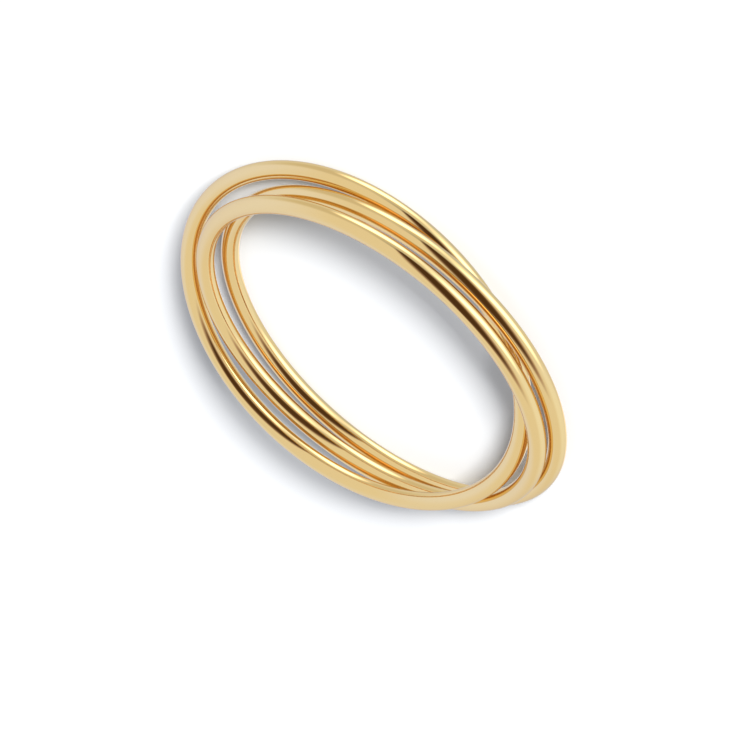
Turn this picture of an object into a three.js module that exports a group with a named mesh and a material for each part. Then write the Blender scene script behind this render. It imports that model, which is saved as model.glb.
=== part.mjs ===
// A rolling ring: three plain bands of round gold wire, linked together and lying on a table.
// Units are millimetres, +Z is up. The table is z = 0, and the origin is at the centre of the
// ring's footprint. -Y is the near side of the ring, as it is looked at.

import * as THREE from 'three';

// Driving dimensions.
const FINGER_DIAMETER = 17.3; // inside of each band, for a finger of US size 7
const WIRE_DIAMETER = 0.85;

// How finely the round wire is faceted.
const STEPS_ROUND_BAND = 96;
const SIDES_OF_WIRE = 12;

const WIRE_RADIUS = WIRE_DIAMETER / 2;
const BAND_RADIUS = FINGER_DIAMETER / 2 + WIRE_RADIUS; // to the middle of the wire

// How each band lies. x and y place its centre, and tilt is its slope in degrees. downhill is the
// direction of its lowest point, in degrees from +X towards +Y, and rise is how far that point is
// above the table. The linking band passes under the others at the near side and over them at the
// far left, so it slopes against them. The upper band lies nearly flat on the lower one.
const BANDS = [
  { name: 'linking_band', x: 0.76, y: 0.59, tilt: 6.53, downhill: 283.3, rise: 0 },
  { name: 'upper_band', x: -0.285, y: -0.01, tilt: 3.72, downhill: 123.9, rise: 0.94 },
  { name: 'lower_band', x: -0.8, y: -0.13, tilt: 3.11, downhill: 104.9, rise: 0 },
];

const POLISHED_GOLD = { name: 'polished_gold', color: 0xe2c58b, roughness: 0.08, metalness: 1 };

// One closed band of round wire, turned to its slope and set down on its lowest point.
function makeBand({ name, x, y, tilt, downhill, rise }) {
  const wire = new THREE.TorusGeometry(BAND_RADIUS, WIRE_RADIUS, SIDES_OF_WIRE, STEPS_ROUND_BAND);
  const band = new THREE.Mesh(wire, new THREE.MeshStandardMaterial(POLISHED_GOLD));
  band.name = name;
  const slope = THREE.MathUtils.degToRad(tilt);
  const turn = THREE.MathUtils.degToRad(downhill);
  band.rotation.set(0, slope, turn, 'ZYX');
  band.position.set(x, y, 0);
  const lowest = new THREE.Box3().setFromObject(band, true).min.z;
  band.position.z = rise - lowest;
  return band;
}

// The bands together, with the centre of their footprint over the origin.
function makeRing() {
  const bands = new THREE.Group();
  bands.add(...BANDS.map(makeBand));
  const middle = new THREE.Box3().setFromObject(bands, true).getCenter(new THREE.Vector3());
  bands.position.set(-middle.x, -middle.y, 0);
  const ring = new THREE.Group();
  ring.name = 'rolling_ring';
  ring.add(bands);
  return ring;
}

export default makeRing();
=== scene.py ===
"""Dresses the rolling ring: three plain bands of polished gold wire, linked and lying on a table.

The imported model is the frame. Each band is measured from its CAD node and made again as a smooth
round wire in the same place. Lengths are in metres, and a name that ends in _mm is in millimetres.
+Z is up, the table is z = 0, and -Y is the near side, where the camera stands.
"""

import logging
import math
from dataclasses import dataclass, field
from enum import Enum
from typing import Any

import bmesh
import bpy
import numpy as np
from mathutils import Euler, Matrix, Vector


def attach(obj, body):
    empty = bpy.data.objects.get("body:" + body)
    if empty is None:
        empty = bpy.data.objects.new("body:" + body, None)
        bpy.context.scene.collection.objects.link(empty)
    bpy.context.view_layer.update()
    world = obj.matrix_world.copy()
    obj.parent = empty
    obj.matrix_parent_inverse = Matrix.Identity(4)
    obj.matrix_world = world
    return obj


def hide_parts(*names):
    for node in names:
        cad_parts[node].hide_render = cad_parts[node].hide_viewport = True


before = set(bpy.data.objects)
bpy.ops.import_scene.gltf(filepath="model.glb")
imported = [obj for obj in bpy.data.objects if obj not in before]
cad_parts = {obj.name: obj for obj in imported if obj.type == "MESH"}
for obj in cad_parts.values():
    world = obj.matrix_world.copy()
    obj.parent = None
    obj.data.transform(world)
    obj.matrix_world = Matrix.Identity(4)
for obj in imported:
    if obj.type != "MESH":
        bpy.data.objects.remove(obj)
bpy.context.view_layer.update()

LOG = logging.getLogger("rolling_ring")
MM = 0.001
SENSOR_MM = 36.0


class BandRole(Enum):
    """The three bands, by what each does. The value is the name of its CAD node and of its body."""

    LINKING = "linking_band"
    UPPER = "upper_band"
    LOWER = "lower_band"


def linear_colour(hex_code: str) -> tuple[float, float, float, float]:
    """Turns an sRGB hex colour into the linear colour that Blender's sockets take.

    Args:
        hex_code: the colour as six hex digits, such as "F6D795".

    Returns:
        Red, green, blue and an alpha of one, all linear.
    """
    channels = [int(hex_code[i : i + 2], 16) / 255 for i in (0, 2, 4)]
    linear = [c / 12.92 if c <= 0.04045 else ((c + 0.055) / 1.055) ** 2.4 for c in channels]
    return (*linear, 1.0)


def add_node(
    tree: bpy.types.NodeTree,
    kind: str,
    settings: dict[str, Any] | None = None,
    inputs: dict[str | int, Any] | None = None,
) -> bpy.types.Node:
    """Adds one node to a tree, with its settings and the values or links of its inputs.

    Args:
        tree: the node tree of a material or of the world.
        kind: Blender's name for the kind of node.
        settings: the node's own properties, by name.
        inputs: a value or an output socket for each input, by the input's name or number.

    Returns:
        The new node.
    """
    node = tree.nodes.new(kind)
    for name, value in (settings or {}).items():
        setattr(node, name, value)
    for key, value in (inputs or {}).items():
        if isinstance(value, bpy.types.NodeSocket):
            tree.links.new(value, node.inputs[key])
        else:
            node.inputs[key].default_value = value
    return node


@dataclass(frozen=True)
class PolishedGold:
    """14 carat yellow gold wire, drawn through a die, then buffed to a mirror and worn a little.

    Drawing leaves faint lines along the wire, and buffing leaves it slightly wavy, so what it
    mirrors has soft edges that waver. Wear adds hairlines, and handling leaves a thin film: both
    show as a slight change of gloss from place to place.
    """

    name: str = "drawn_and_buffed_yellow_gold"
    slot: str = "polished_gold"
    colour: str = "F6D795"
    paler_colour: str = "F6D89B"
    # The film is thickest to the eye at the rims, where it keeps the gold from shining white.
    rim_tint: str = "EDE5E0"
    roughness: float = 0.055
    roughness_spread: float = 0.05
    # Die lines and hairlines are 0.01 to 0.03 mm apart, too fine for this view, so they are
    # drawn 0.07 mm apart.
    line_spacing_mm: float = 0.07
    line_length_mm: float = 5.0
    line_depth_mm: float = 0.00022
    wave_length_mm: float = 2.6
    wave_depth_mm: float = 0.0035
    film_patch_mm: float = 1.7

    def material(self, centre: Vector, turn: Euler, band_radius: float) -> bpy.types.Material:
        """Makes the gold for one band.

        Args:
            centre: the band's centre.
            turn: how the band is turned from lying flat round +Z.
            band_radius: from the band's axis to the middle of the wire.

        Returns:
            The material, whose pattern runs round the band without a seam.
        """
        material = bpy.data.materials.new(self.name)
        material.use_nodes = True
        tree = material.node_tree
        tree.nodes.clear()
        place = add_node(tree, "ShaderNodeTexCoord").outputs["Object"]
        own = add_node(
            tree,
            "ShaderNodeMapping",
            {"vector_type": "TEXTURE"},
            {"Vector": place, "Location": centre, "Rotation": turn},
        )
        split = add_node(tree, "ShaderNodeSeparateXYZ", inputs={0: own.outputs[0]})
        x, y, z = (split.outputs[i] for i in range(3))
        flat = add_node(tree, "ShaderNodeCombineXYZ", inputs={0: x, 1: y, 2: 0.0})
        reach = add_node(
            tree, "ShaderNodeVectorMath", {"operation": "LENGTH"}, {0: flat.outputs[0]}
        )
        outward = add_node(
            tree,
            "ShaderNodeMath",
            {"operation": "SUBTRACT"},
            {0: reach.outputs["Value"], 1: band_radius},
        )
        # Across the wire the patterns follow its section, and along it the band's own X and Y.
        spot = (outward.outputs[0], z, x, y)
        lines = self._pattern(tree, spot, self.line_spacing_mm, self.line_length_mm, detail=2.0)
        film = self._pattern(tree, spot, self.film_patch_mm, self.film_patch_mm, detail=2.0)
        waves = self._pattern(tree, spot, self.wave_length_mm, self.wave_length_mm, detail=0.0)
        colour = add_node(
            tree,
            "ShaderNodeMix",
            {"data_type": "RGBA"},
            {0: film, 6: linear_colour(self.colour), 7: linear_colour(self.paler_colour)},
        )
        # Where the film is thick and the hairlines are close, the gold is a little duller.
        dulling = add_node(
            tree, "ShaderNodeMath", {"operation": "MULTIPLY"}, {0: film, 1: lines}
        )
        roughness = add_node(
            tree,
            "ShaderNodeMath",
            {"operation": "MULTIPLY_ADD"},
            {0: dulling.outputs[0], 1: self.roughness_spread, 2: self.roughness},
        )
        wavy = add_node(
            tree,
            "ShaderNodeBump",
            inputs={"Strength": 1.0, "Distance": self.wave_depth_mm * MM, "Height": waves},
        )
        lined = add_node(
            tree,
            "ShaderNodeBump",
            inputs={
                "Strength": 1.0,
                "Distance": self.line_depth_mm * MM,
                "Height": lines,
                "Normal": wavy.outputs[0],
            },
        )
        shader = add_node(
            tree,
            "ShaderNodeBsdfPrincipled",
            inputs={
                "Base Color": colour.outputs[2],
                "Metallic": 1.0,
                "Roughness": roughness.outputs[0],
                "Specular Tint": linear_colour(self.rim_tint),
                "Normal": lined.outputs[0],
            },
        )
        add_node(tree, "ShaderNodeOutputMaterial", inputs={"Surface": shader.outputs[0]})
        return material

    def _pattern(
        self,
        tree: bpy.types.NodeTree,
        place: tuple[bpy.types.NodeSocket, ...],
        across_mm: float,
        along_mm: float,
        detail: float,
    ) -> bpy.types.NodeSocket:
        """Draws noise that is stretched along the wire.

        Args:
            tree: the material's node tree.
            place: how far a point lies outward and up from the wire's middle, then its X and Y.
            across_mm: the size of a mark across the wire.
            along_mm: the size of a mark along the wire.
            detail: how many finer layers the noise has.

        Returns:
            The socket that gives the noise, from about 0 to 1.
        """
        scales = [1 / (across_mm * MM)] * 2 + [1 / (along_mm * MM)] * 2
        parts = [
            add_node(tree, "ShaderNodeMath", {"operation": "MULTIPLY"}, {0: p, 1: s}).outputs[0]
            for p, s in zip(place, scales)
        ]
        vector = add_node(
            tree, "ShaderNodeCombineXYZ", inputs={0: parts[0], 1: parts[1], 2: parts[2]}
        )
        noise = add_node(
            tree,
            "ShaderNodeTexNoise",
            {"noise_dimensions": "4D"},
            {"Vector": vector.outputs[0], "W": parts[3], "Scale": 1.0, "Detail": detail},
        )
        return noise.outputs[0]


@dataclass(frozen=True)
class MattPaper:
    """Smooth white background paper, uncoated, so it has no shine and takes soft shadows."""

    name: str = "uncoated_white_background_paper"
    colour: str = "AEAFB0"
    roughness: float = 0.9
    # Fibres are about 0.02 mm thick, too fine for this view, so their clumps are drawn.
    clump_mm: float = 0.8
    clump_depth_mm: float = 0.002
    clump_strength: float = 0.2

    def material(self) -> bpy.types.Material:
        """Makes the paper, with the slight unevenness of its fibres.

        Returns:
            The material.
        """
        material = bpy.data.materials.new(self.name)
        material.use_nodes = True
        tree = material.node_tree
        tree.nodes.clear()
        place = add_node(tree, "ShaderNodeTexCoord").outputs["Object"]
        clumps = add_node(
            tree,
            "ShaderNodeTexNoise",
            inputs={"Vector": place, "Scale": 1 / (self.clump_mm * MM), "Detail": 2.0},
        )
        bump = add_node(
            tree,
            "ShaderNodeBump",
            inputs={
                "Strength": self.clump_strength,
                "Distance": self.clump_depth_mm * MM,
                "Height": clumps.outputs[0],
            },
        )
        shader = add_node(
            tree,
            "ShaderNodeBsdfPrincipled",
            inputs={
                "Base Color": linear_colour(self.colour),
                "Roughness": self.roughness,
                "Specular IOR Level": 0.0,
                "Normal": bump.outputs[0],
            },
        )
        add_node(tree, "ShaderNodeOutputMaterial", inputs={"Surface": shader.outputs[0]})
        return material


@dataclass
class WireBand:
    """One closed band of round wire, measured from its CAD node."""

    role: BandRole
    finish: PolishedGold
    steps_round_band: int = 512
    sides_of_wire: int = 56
    centre: Vector = field(init=False)
    axis: Vector = field(init=False)
    band_radius: float = field(init=False)
    wire_radius: float = field(init=False)

    def __post_init__(self) -> None:
        """Measures where the CAD band lies, and how big it and its wire are."""
        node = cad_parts[self.role.value]
        points = np.array([vertex.co for vertex in node.data.vertices], float)
        middle = points.mean(axis=0)
        # The band is flat, so its axis is the direction in which its points vary least.
        _, directions = np.linalg.eigh(np.cov((points - middle).T))
        axis = directions[:, 0] * math.copysign(1.0, directions[2, 0])
        height = (points - middle) @ axis
        reach = np.linalg.norm(points - middle - height[:, None] * axis, axis=1)
        self.centre, self.axis = Vector(middle), Vector(axis)
        self.band_radius = float((reach.max() + reach.min()) / 2)
        self.wire_radius = float(reach.max() - reach.min()) / 2

    def build(self) -> bpy.types.Object:
        """Builds the band, puts it in its place and dresses it.

        Returns:
            The band's object, which rides on its body in place of its CAD node.
        """
        turn = self.axis.to_track_quat("Z", "X")
        mesh = self._mesh()
        mesh.transform(Matrix.LocRotScale(self.centre, turn, None))
        band = bpy.data.objects.new(f"{self.role.value}_wire", mesh)
        bpy.context.collection.objects.link(band)
        gold = self.finish.material(self.centre, turn.to_euler(), self.band_radius)
        band.data.materials.append(gold)
        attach(band, self.role.value)
        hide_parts(self.role.value)
        return band

    def _mesh(self) -> bpy.types.Mesh:
        """Builds the wire flat round +Z, as rings of points joined by four-sided faces.

        Returns:
            The mesh, with its middle at the origin.
        """
        shape = bmesh.new()
        rings = []
        for step in range(self.steps_round_band):
            along = math.tau * step / self.steps_round_band
            ring = []
            for side in range(self.sides_of_wire):
                around = math.tau * side / self.sides_of_wire
                reach = self.band_radius + self.wire_radius * math.cos(around)
                ring.append(
                    shape.verts.new(
                        (
                            reach * math.cos(along),
                            reach * math.sin(along),
                            self.wire_radius * math.sin(around),
                        )
                    )
                )
            rings.append(ring)
        for near, far in zip(rings, rings[1:] + rings[:1]):
            for side in range(self.sides_of_wire):
                other = (side + 1) % self.sides_of_wire
                face = shape.faces.new((near[side], far[side], far[other], near[other]))
                face.smooth = True
        mesh = bpy.data.meshes.new(f"{self.role.value}_wire")
        shape.to_mesh(mesh)
        shape.free()
        return mesh


@dataclass
class RollingRing:
    """The three bands that make the ring."""

    finish: PolishedGold

    def build(self) -> list[bpy.types.Object]:
        """Builds the bands and logs each one.

        Returns:
            The bands' objects.
        """
        bands = []
        for role in BandRole:
            band = WireBand(role, self.finish)
            bands.append(band.build())
            LOG.info(
                "%s: %.2f mm inside, %.2f mm wire",
                role.value,
                2 * (band.band_radius - band.wire_radius) / MM,
                2 * band.wire_radius / MM,
            )
        return bands


@dataclass
class Table:
    """The plain pale surface that the ring lies on."""

    finish: MattPaper
    radius: float = 1.2
    steps_round: int = 96

    def build(self, height: float) -> bpy.types.Object:
        """Builds the surface as one flat disc.

        Args:
            height: the height of its top.

        Returns:
            The surface's object.
        """
        shape = bmesh.new()
        bmesh.ops.create_circle(
            shape, cap_ends=True, segments=self.steps_round, radius=self.radius
        )
        mesh = bpy.data.meshes.new("table")
        shape.to_mesh(mesh)
        shape.free()
        table = bpy.data.objects.new("table", mesh)
        table.location.z = height
        bpy.context.collection.objects.link(table)
        table.data.materials.append(self.finish.material())
        # The metal mirrors the tent below the table too, as it does on clear glass.
        table.visible_glossy = False
        LOG.info("table: a disc %.1f m across", 2 * self.radius)
        return table


def direction(azimuth_deg: float, elevation_deg: float) -> Vector:
    """The direction from the ring to something that stands at these angles.

    Args:
        azimuth_deg: 0 is on the near side, -Y, and 90 is at +X.
        elevation_deg: the height above the table.

    Returns:
        A direction one long.
    """
    azimuth, elevation = math.radians(azimuth_deg), math.radians(elevation_deg)
    return Vector(
        (
            math.sin(azimuth) * math.cos(elevation),
            -math.cos(azimuth) * math.cos(elevation),
            math.sin(elevation),
        )
    )


@dataclass(frozen=True)
class SoftLight:
    """A flat, even light, such as a lamp behind a diffusing sheet."""

    name: str
    azimuth_deg: float
    elevation_deg: float
    distance: float
    width: float
    height: float
    watts: float
    shows_in_metal: bool = False

    def build(self) -> bpy.types.Object:
        """Builds the light so that it faces the ring.

        Returns:
            The light's object.
        """
        lamp = bpy.data.lights.new(self.name, "AREA")
        lamp.shape = "RECTANGLE"
        lamp.size, lamp.size_y = self.width, self.height
        lamp.energy = self.watts
        light = bpy.data.objects.new(self.name, lamp)
        towards = direction(self.azimuth_deg, self.elevation_deg)
        light.location = towards * self.distance
        light.rotation_mode = "QUATERNION"
        light.rotation_quaternion = (-towards).to_track_quat("-Z", "Y")
        light.visible_glossy = self.shows_in_metal
        bpy.context.collection.objects.link(light)
        LOG.info("light: %s", self.name)
        return light


@dataclass(frozen=True)
class TentPatch:
    """An oval area of the tent that is brighter or dimmer than the rest, with soft edges."""

    azimuth_deg: float
    elevation_deg: float
    half_width_deg: float
    half_height_deg: float
    colour: str
    brightness: float
    softness: float = 0.5

    def paint(
        self,
        tree: bpy.types.NodeTree,
        towards: bpy.types.NodeSocket,
        behind: bpy.types.NodeSocket | tuple[float, ...],
    ) -> bpy.types.NodeSocket:
        """Paints the patch over what the tent already has.

        Args:
            tree: the world's node tree.
            towards: the direction that is looked in.
            behind: the colour under the patch.

        Returns:
            The socket that gives the colour with the patch on it.
        """
        middle = direction(self.azimuth_deg, self.elevation_deg)
        azimuth = math.radians(self.azimuth_deg)
        wide = Vector((math.cos(azimuth), math.sin(azimuth), 0.0))
        high = middle.cross(wide)
        # The sphere is flattened from the point opposite the patch, so the patch shows only once.
        parts = {}
        for name, line in (
            ("ahead", middle),
            ("wide", wide / (2 * math.tan(math.radians(self.half_width_deg) / 2))),
            ("high", high / (2 * math.tan(math.radians(self.half_height_deg) / 2))),
        ):
            dot = add_node(
                tree,
                "ShaderNodeVectorMath",
                {"operation": "DOT_PRODUCT"},
                {0: towards, 1: line},
            )
            parts[name] = dot.outputs["Value"]
        flat = add_node(
            tree, "ShaderNodeCombineXYZ", inputs={0: parts["wide"], 1: parts["high"], 2: 0.0}
        )
        reach = add_node(
            tree, "ShaderNodeVectorMath", {"operation": "LENGTH"}, {0: flat.outputs[0]}
        )
        facing = add_node(
            tree,
            "ShaderNodeMath",
            {"operation": "MULTIPLY_ADD"},
            {0: parts["ahead"], 1: 0.5, 2: 0.5},
        )
        share = add_node(
            tree,
            "ShaderNodeMath",
            {"operation": "DIVIDE"},
            {0: reach.outputs["Value"], 1: facing.outputs[0]},
        )
        cover = add_node(
            tree,
            "ShaderNodeMapRange",
            {"interpolation_type": "SMOOTHSTEP"},
            {
                "Value": share.outputs[0],
                "From Min": 1 - self.softness,
                "From Max": 1 + self.softness,
                "To Min": 1.0,
                "To Max": 0.0,
            },
        )
        light = [c * self.brightness for c in linear_colour(self.colour)[:3]] + [1.0]
        mix = add_node(
            tree, "ShaderNodeMix", {"data_type": "RGBA"}, {0: cover.outputs[0], 6: behind, 7: light}
        )
        return mix.outputs[2]


@dataclass(frozen=True)
class LightTent:
    """The even white tent round the ring, with brighter and dimmer areas that the metal mirrors."""

    colour: str = "FFFFFF"
    brightness: float = 0.83
    # The columns are azimuth, elevation, half width, half height, colour and brightness.
    patches: tuple[TentPatch, ...] = (
        # The tent under the ring.
        TentPatch(0, -90, 88, 88, "F4F9FF", 0.87, softness=0.15),
        # Its middle, straight below.
        TentPatch(0, -90, 15, 15, "DAE7FF", 0.86, softness=0.6),
        # The right side, at the back.
        TentPatch(140, 13, 55, 39, "DBE3FF", 1.20),
        # The left side, below level.
        TentPatch(-100, -20, 45, 28, "EDF4FF", 1.09),
        # The right side, below level.
        TentPatch(58, -27, 42, 26, "FFFBF4", 0.68, softness=0.4),
        # A lit area below, at the back left.
        TentPatch(-154, -42, 17, 11, "FFFFFF", 1.38),
        # The glow between the two lit areas at the front.
        TentPatch(8, -46, 26, 14, "FFFFFF", 1.2, softness=0.6),
        # A dim area round the far end of the dark flag.
        TentPatch(14, 0, 22, 10, "FFFFFF", 0.44, softness=0.6),
        # The lit area at the front left.
        TentPatch(-30, -27, 27, 19, "FFFFFF", 2.45, softness=0.5),
        # The lit area at the front right.
        TentPatch(49, -47, 16, 20, "FFFFFF", 2.45, softness=0.5),
    )
    # The table isn't mirrored, so its shade between the wires is put in here: light that comes
    # from below by way of more than one wire is cut to this warm share of itself.
    shade_between_wires: str = "C09D88"
    # The shade begins and is full at these heights, as the sine of the angle above level.
    shade_top: float = -0.2
    shade_full: float = -0.6

    def build(self) -> bpy.types.World:
        """Builds the tent as the scene's world, in directions that are fixed to the table.

        Returns:
            The world.
        """
        world = bpy.data.worlds.new("light_tent")
        world.use_nodes = True
        tree = world.node_tree
        tree.nodes.clear()
        towards = add_node(tree, "ShaderNodeTexCoord").outputs["Generated"]
        light = [c * self.brightness for c in linear_colour(self.colour)[:3]] + [1.0]
        for patch in self.patches:
            light = patch.paint(tree, towards, light)
        light = self._shade(tree, towards, light)
        glow = add_node(tree, "ShaderNodeBackground", inputs={"Color": light})
        add_node(tree, "ShaderNodeOutputWorld", inputs={"Surface": glow.outputs[0]})
        bpy.context.scene.world = world
        LOG.info("light tent: %d patches", len(self.patches))
        return world

    def _shade(
        self,
        tree: bpy.types.NodeTree,
        towards: bpy.types.NodeSocket,
        light: bpy.types.NodeSocket,
    ) -> bpy.types.NodeSocket:
        """Puts in the table's shade between the wires.

        Args:
            tree: the world's node tree.
            towards: the direction that is looked in.
            light: the tent's light in that direction.

        Returns:
            The socket that gives the light with the shade in it.
        """
        # One wire gives none of the shade, and two or more give all of it.
        bounces = add_node(tree, "ShaderNodeLightPath").outputs["Glossy Depth"]
        several = add_node(
            tree, "ShaderNodeMapRange", inputs={0: bounces, "From Min": 1.0, "From Max": 2.0}
        )
        height = add_node(tree, "ShaderNodeSeparateXYZ", inputs={0: towards}).outputs[2]
        below = add_node(
            tree,
            "ShaderNodeMapRange",
            inputs={0: height, "From Min": self.shade_top, "From Max": self.shade_full},
        )
        shaded = add_node(
            tree,
            "ShaderNodeMath",
            {"operation": "MULTIPLY"},
            {0: several.outputs[0], 1: below.outputs[0]},
        )
        mix = add_node(
            tree,
            "ShaderNodeMix",
            {"data_type": "RGBA", "blend_type": "MULTIPLY"},
            {0: shaded.outputs[0], 6: light, 7: linear_colour(self.shade_between_wires)},
        )
        return mix.outputs[2]


@dataclass(frozen=True)
class DarkFlag:
    """A long dark strip beside the camera, which gives each wire its dark streak.

    Only metal shows it: it throws no shadow and the camera doesn't see it.
    """

    centre_mm: tuple[float, float, float] = (96.1, -272.8, 16.0)
    facing_azimuth_deg: float = -56.5
    facing_elevation_deg: float = 34.4
    roll_deg: float = -11.1
    half_length_mm: float = 303.0
    half_width_mm: float = 37.0
    edge_mm: float = 18.0
    colour: str = "4E3826"
    # What the thin edge lets through where it covers half.
    edge_glow: tuple[float, float, float] = (0.50, 0.39, 0.36)

    def build(self) -> bpy.types.Object:
        """Builds the strip as one flat sheet.

        Returns:
            The strip's object.
        """
        length = self.half_length_mm + self.edge_mm
        width = self.half_width_mm + self.edge_mm
        shape = bmesh.new()
        corners = [(-length, -width), (length, -width), (length, width), (-length, width)]
        shape.faces.new([shape.verts.new((x * MM, y * MM, 0.0)) for x, y in corners])
        mesh = bpy.data.meshes.new("dark_flag")
        shape.to_mesh(mesh)
        shape.free()
        flag = bpy.data.objects.new("dark_flag", mesh)
        facing = direction(self.facing_azimuth_deg, self.facing_elevation_deg)
        azimuth, roll = math.radians(self.facing_azimuth_deg), math.radians(self.roll_deg)
        level = Vector((math.cos(azimuth), math.sin(azimuth), 0.0))
        above = facing.cross(level)
        along = math.cos(roll) * level + math.sin(roll) * above
        across = math.cos(roll) * above - math.sin(roll) * level
        turn = Matrix((along, across, facing)).transposed().to_4x4()
        flag.matrix_world = Matrix.Translation(Vector(self.centre_mm) * MM) @ turn
        bpy.context.collection.objects.link(flag)
        flag.data.materials.append(self._material())
        flag.visible_camera = flag.visible_diffuse = flag.visible_shadow = False
        LOG.info("dark flag")
        return flag

    def _material(self) -> bpy.types.Material:
        """Makes the strip's felt, which fades out at its edges.

        Its short brown fibres stand on end and swallow the light, so metal mirrors it as one even
        dark colour. That colour glows by itself, in place of the little light that felt returns.

        Returns:
            The material.
        """
        material = bpy.data.materials.new("brown_flocked_felt")
        material.use_nodes = True
        tree = material.node_tree
        tree.nodes.clear()
        place = add_node(tree, "ShaderNodeTexCoord").outputs["Object"]
        split = add_node(tree, "ShaderNodeSeparateXYZ", inputs={0: place})
        covers = []
        for part, half in ((0, self.half_length_mm), (1, self.half_width_mm)):
            size = add_node(
                tree, "ShaderNodeMath", {"operation": "ABSOLUTE"}, {0: split.outputs[part]}
            )
            cover = add_node(
                tree,
                "ShaderNodeMapRange",
                {"interpolation_type": "SMOOTHSTEP"},
                {
                    "Value": size.outputs[0],
                    "From Min": (half - self.edge_mm) * MM,
                    "From Max": (half + self.edge_mm) * MM,
                    "To Min": 1.0,
                    "To Max": 0.0,
                },
            )
            covers.append(cover.outputs[0])
        both = add_node(
            tree, "ShaderNodeMath", {"operation": "MULTIPLY"}, {0: covers[0], 1: covers[1]}
        )
        through = add_node(tree, "ShaderNodeValToRGB", inputs={0: both.outputs[0]})
        stops = through.color_ramp.elements
        stops[0].color, stops[1].color = (1.0, 1.0, 1.0, 1.0), (0.0, 0.0, 0.0, 1.0)
        stops.new(0.5).color = (*self.edge_glow, 1.0)
        clear = add_node(tree, "ShaderNodeBsdfTransparent", inputs={0: through.outputs[0]})
        felt = add_node(
            tree,
            "ShaderNodeEmission",
            inputs={0: linear_colour(self.colour), 1: both.outputs[0]},
        )
        mix = add_node(
            tree, "ShaderNodeAddShader", inputs={0: clear.outputs[0], 1: felt.outputs[0]}
        )
        add_node(tree, "ShaderNodeOutputMaterial", inputs={"Surface": mix.outputs[0]})
        return material


@dataclass(frozen=True)
class RolledCamera:
    """The camera on the near side, rolled so that the table's up points to the lower left."""

    azimuth_deg: float = 0.02
    elevation_deg: float = 31.27
    roll_deg: float = 137.56
    distance_mm: float = 183.17
    focal_length_mm: float = 199.27
    target_mm: tuple[float, float, float] = (0.023, -0.205, 0.0)
    pan_mm: tuple[float, float] = (-1.071, -1.804)

    def build(self) -> bpy.types.Object:
        """Builds the camera and makes it the scene's own.

        Returns:
            The camera's object.
        """
        back = direction(self.azimuth_deg, self.elevation_deg)
        azimuth, roll = math.radians(self.azimuth_deg), math.radians(self.roll_deg)
        level = Vector((math.cos(azimuth), math.sin(azimuth), 0.0))
        above = back.cross(level)
        right = math.cos(roll) * level - math.sin(roll) * above
        up = math.sin(roll) * level + math.cos(roll) * above
        place = (
            Vector(self.target_mm)
            + self.pan_mm[0] * right
            + self.pan_mm[1] * up
            + self.distance_mm * back
        ) * MM
        lens = bpy.data.cameras.new("camera")
        lens.sensor_width = SENSOR_MM
        lens.lens = self.focal_length_mm
        lens.clip_start, lens.clip_end = 0.01, 10.0
        camera = bpy.data.objects.new("camera", lens)
        turn = Matrix((right, up, back)).transposed().to_4x4()
        camera.matrix_world = Matrix.Translation(place) @ turn
        bpy.context.collection.objects.link(camera)
        bpy.context.scene.camera = camera
        LOG.info("camera at %s", place)
        return camera


def main() -> None:
    """Builds the ring, then the table, the lights and the camera round it."""
    logging.basicConfig(level=logging.INFO, format="%(message)s")
    RolledCamera().build()
    RollingRing(PolishedGold()).build()
    Table(MattPaper()).build(height=0.0)
    SoftLight(
        name="key_light",
        azimuth_deg=-3.2,
        elevation_deg=22.9,
        distance=2.0,
        width=0.55,
        height=0.36,
        watts=180.0,
    ).build()
    LightTent().build()
    DarkFlag().build()
    bpy.context.scene.view_settings.view_transform = "Standard"


if __name__ == "__main__":
    main()
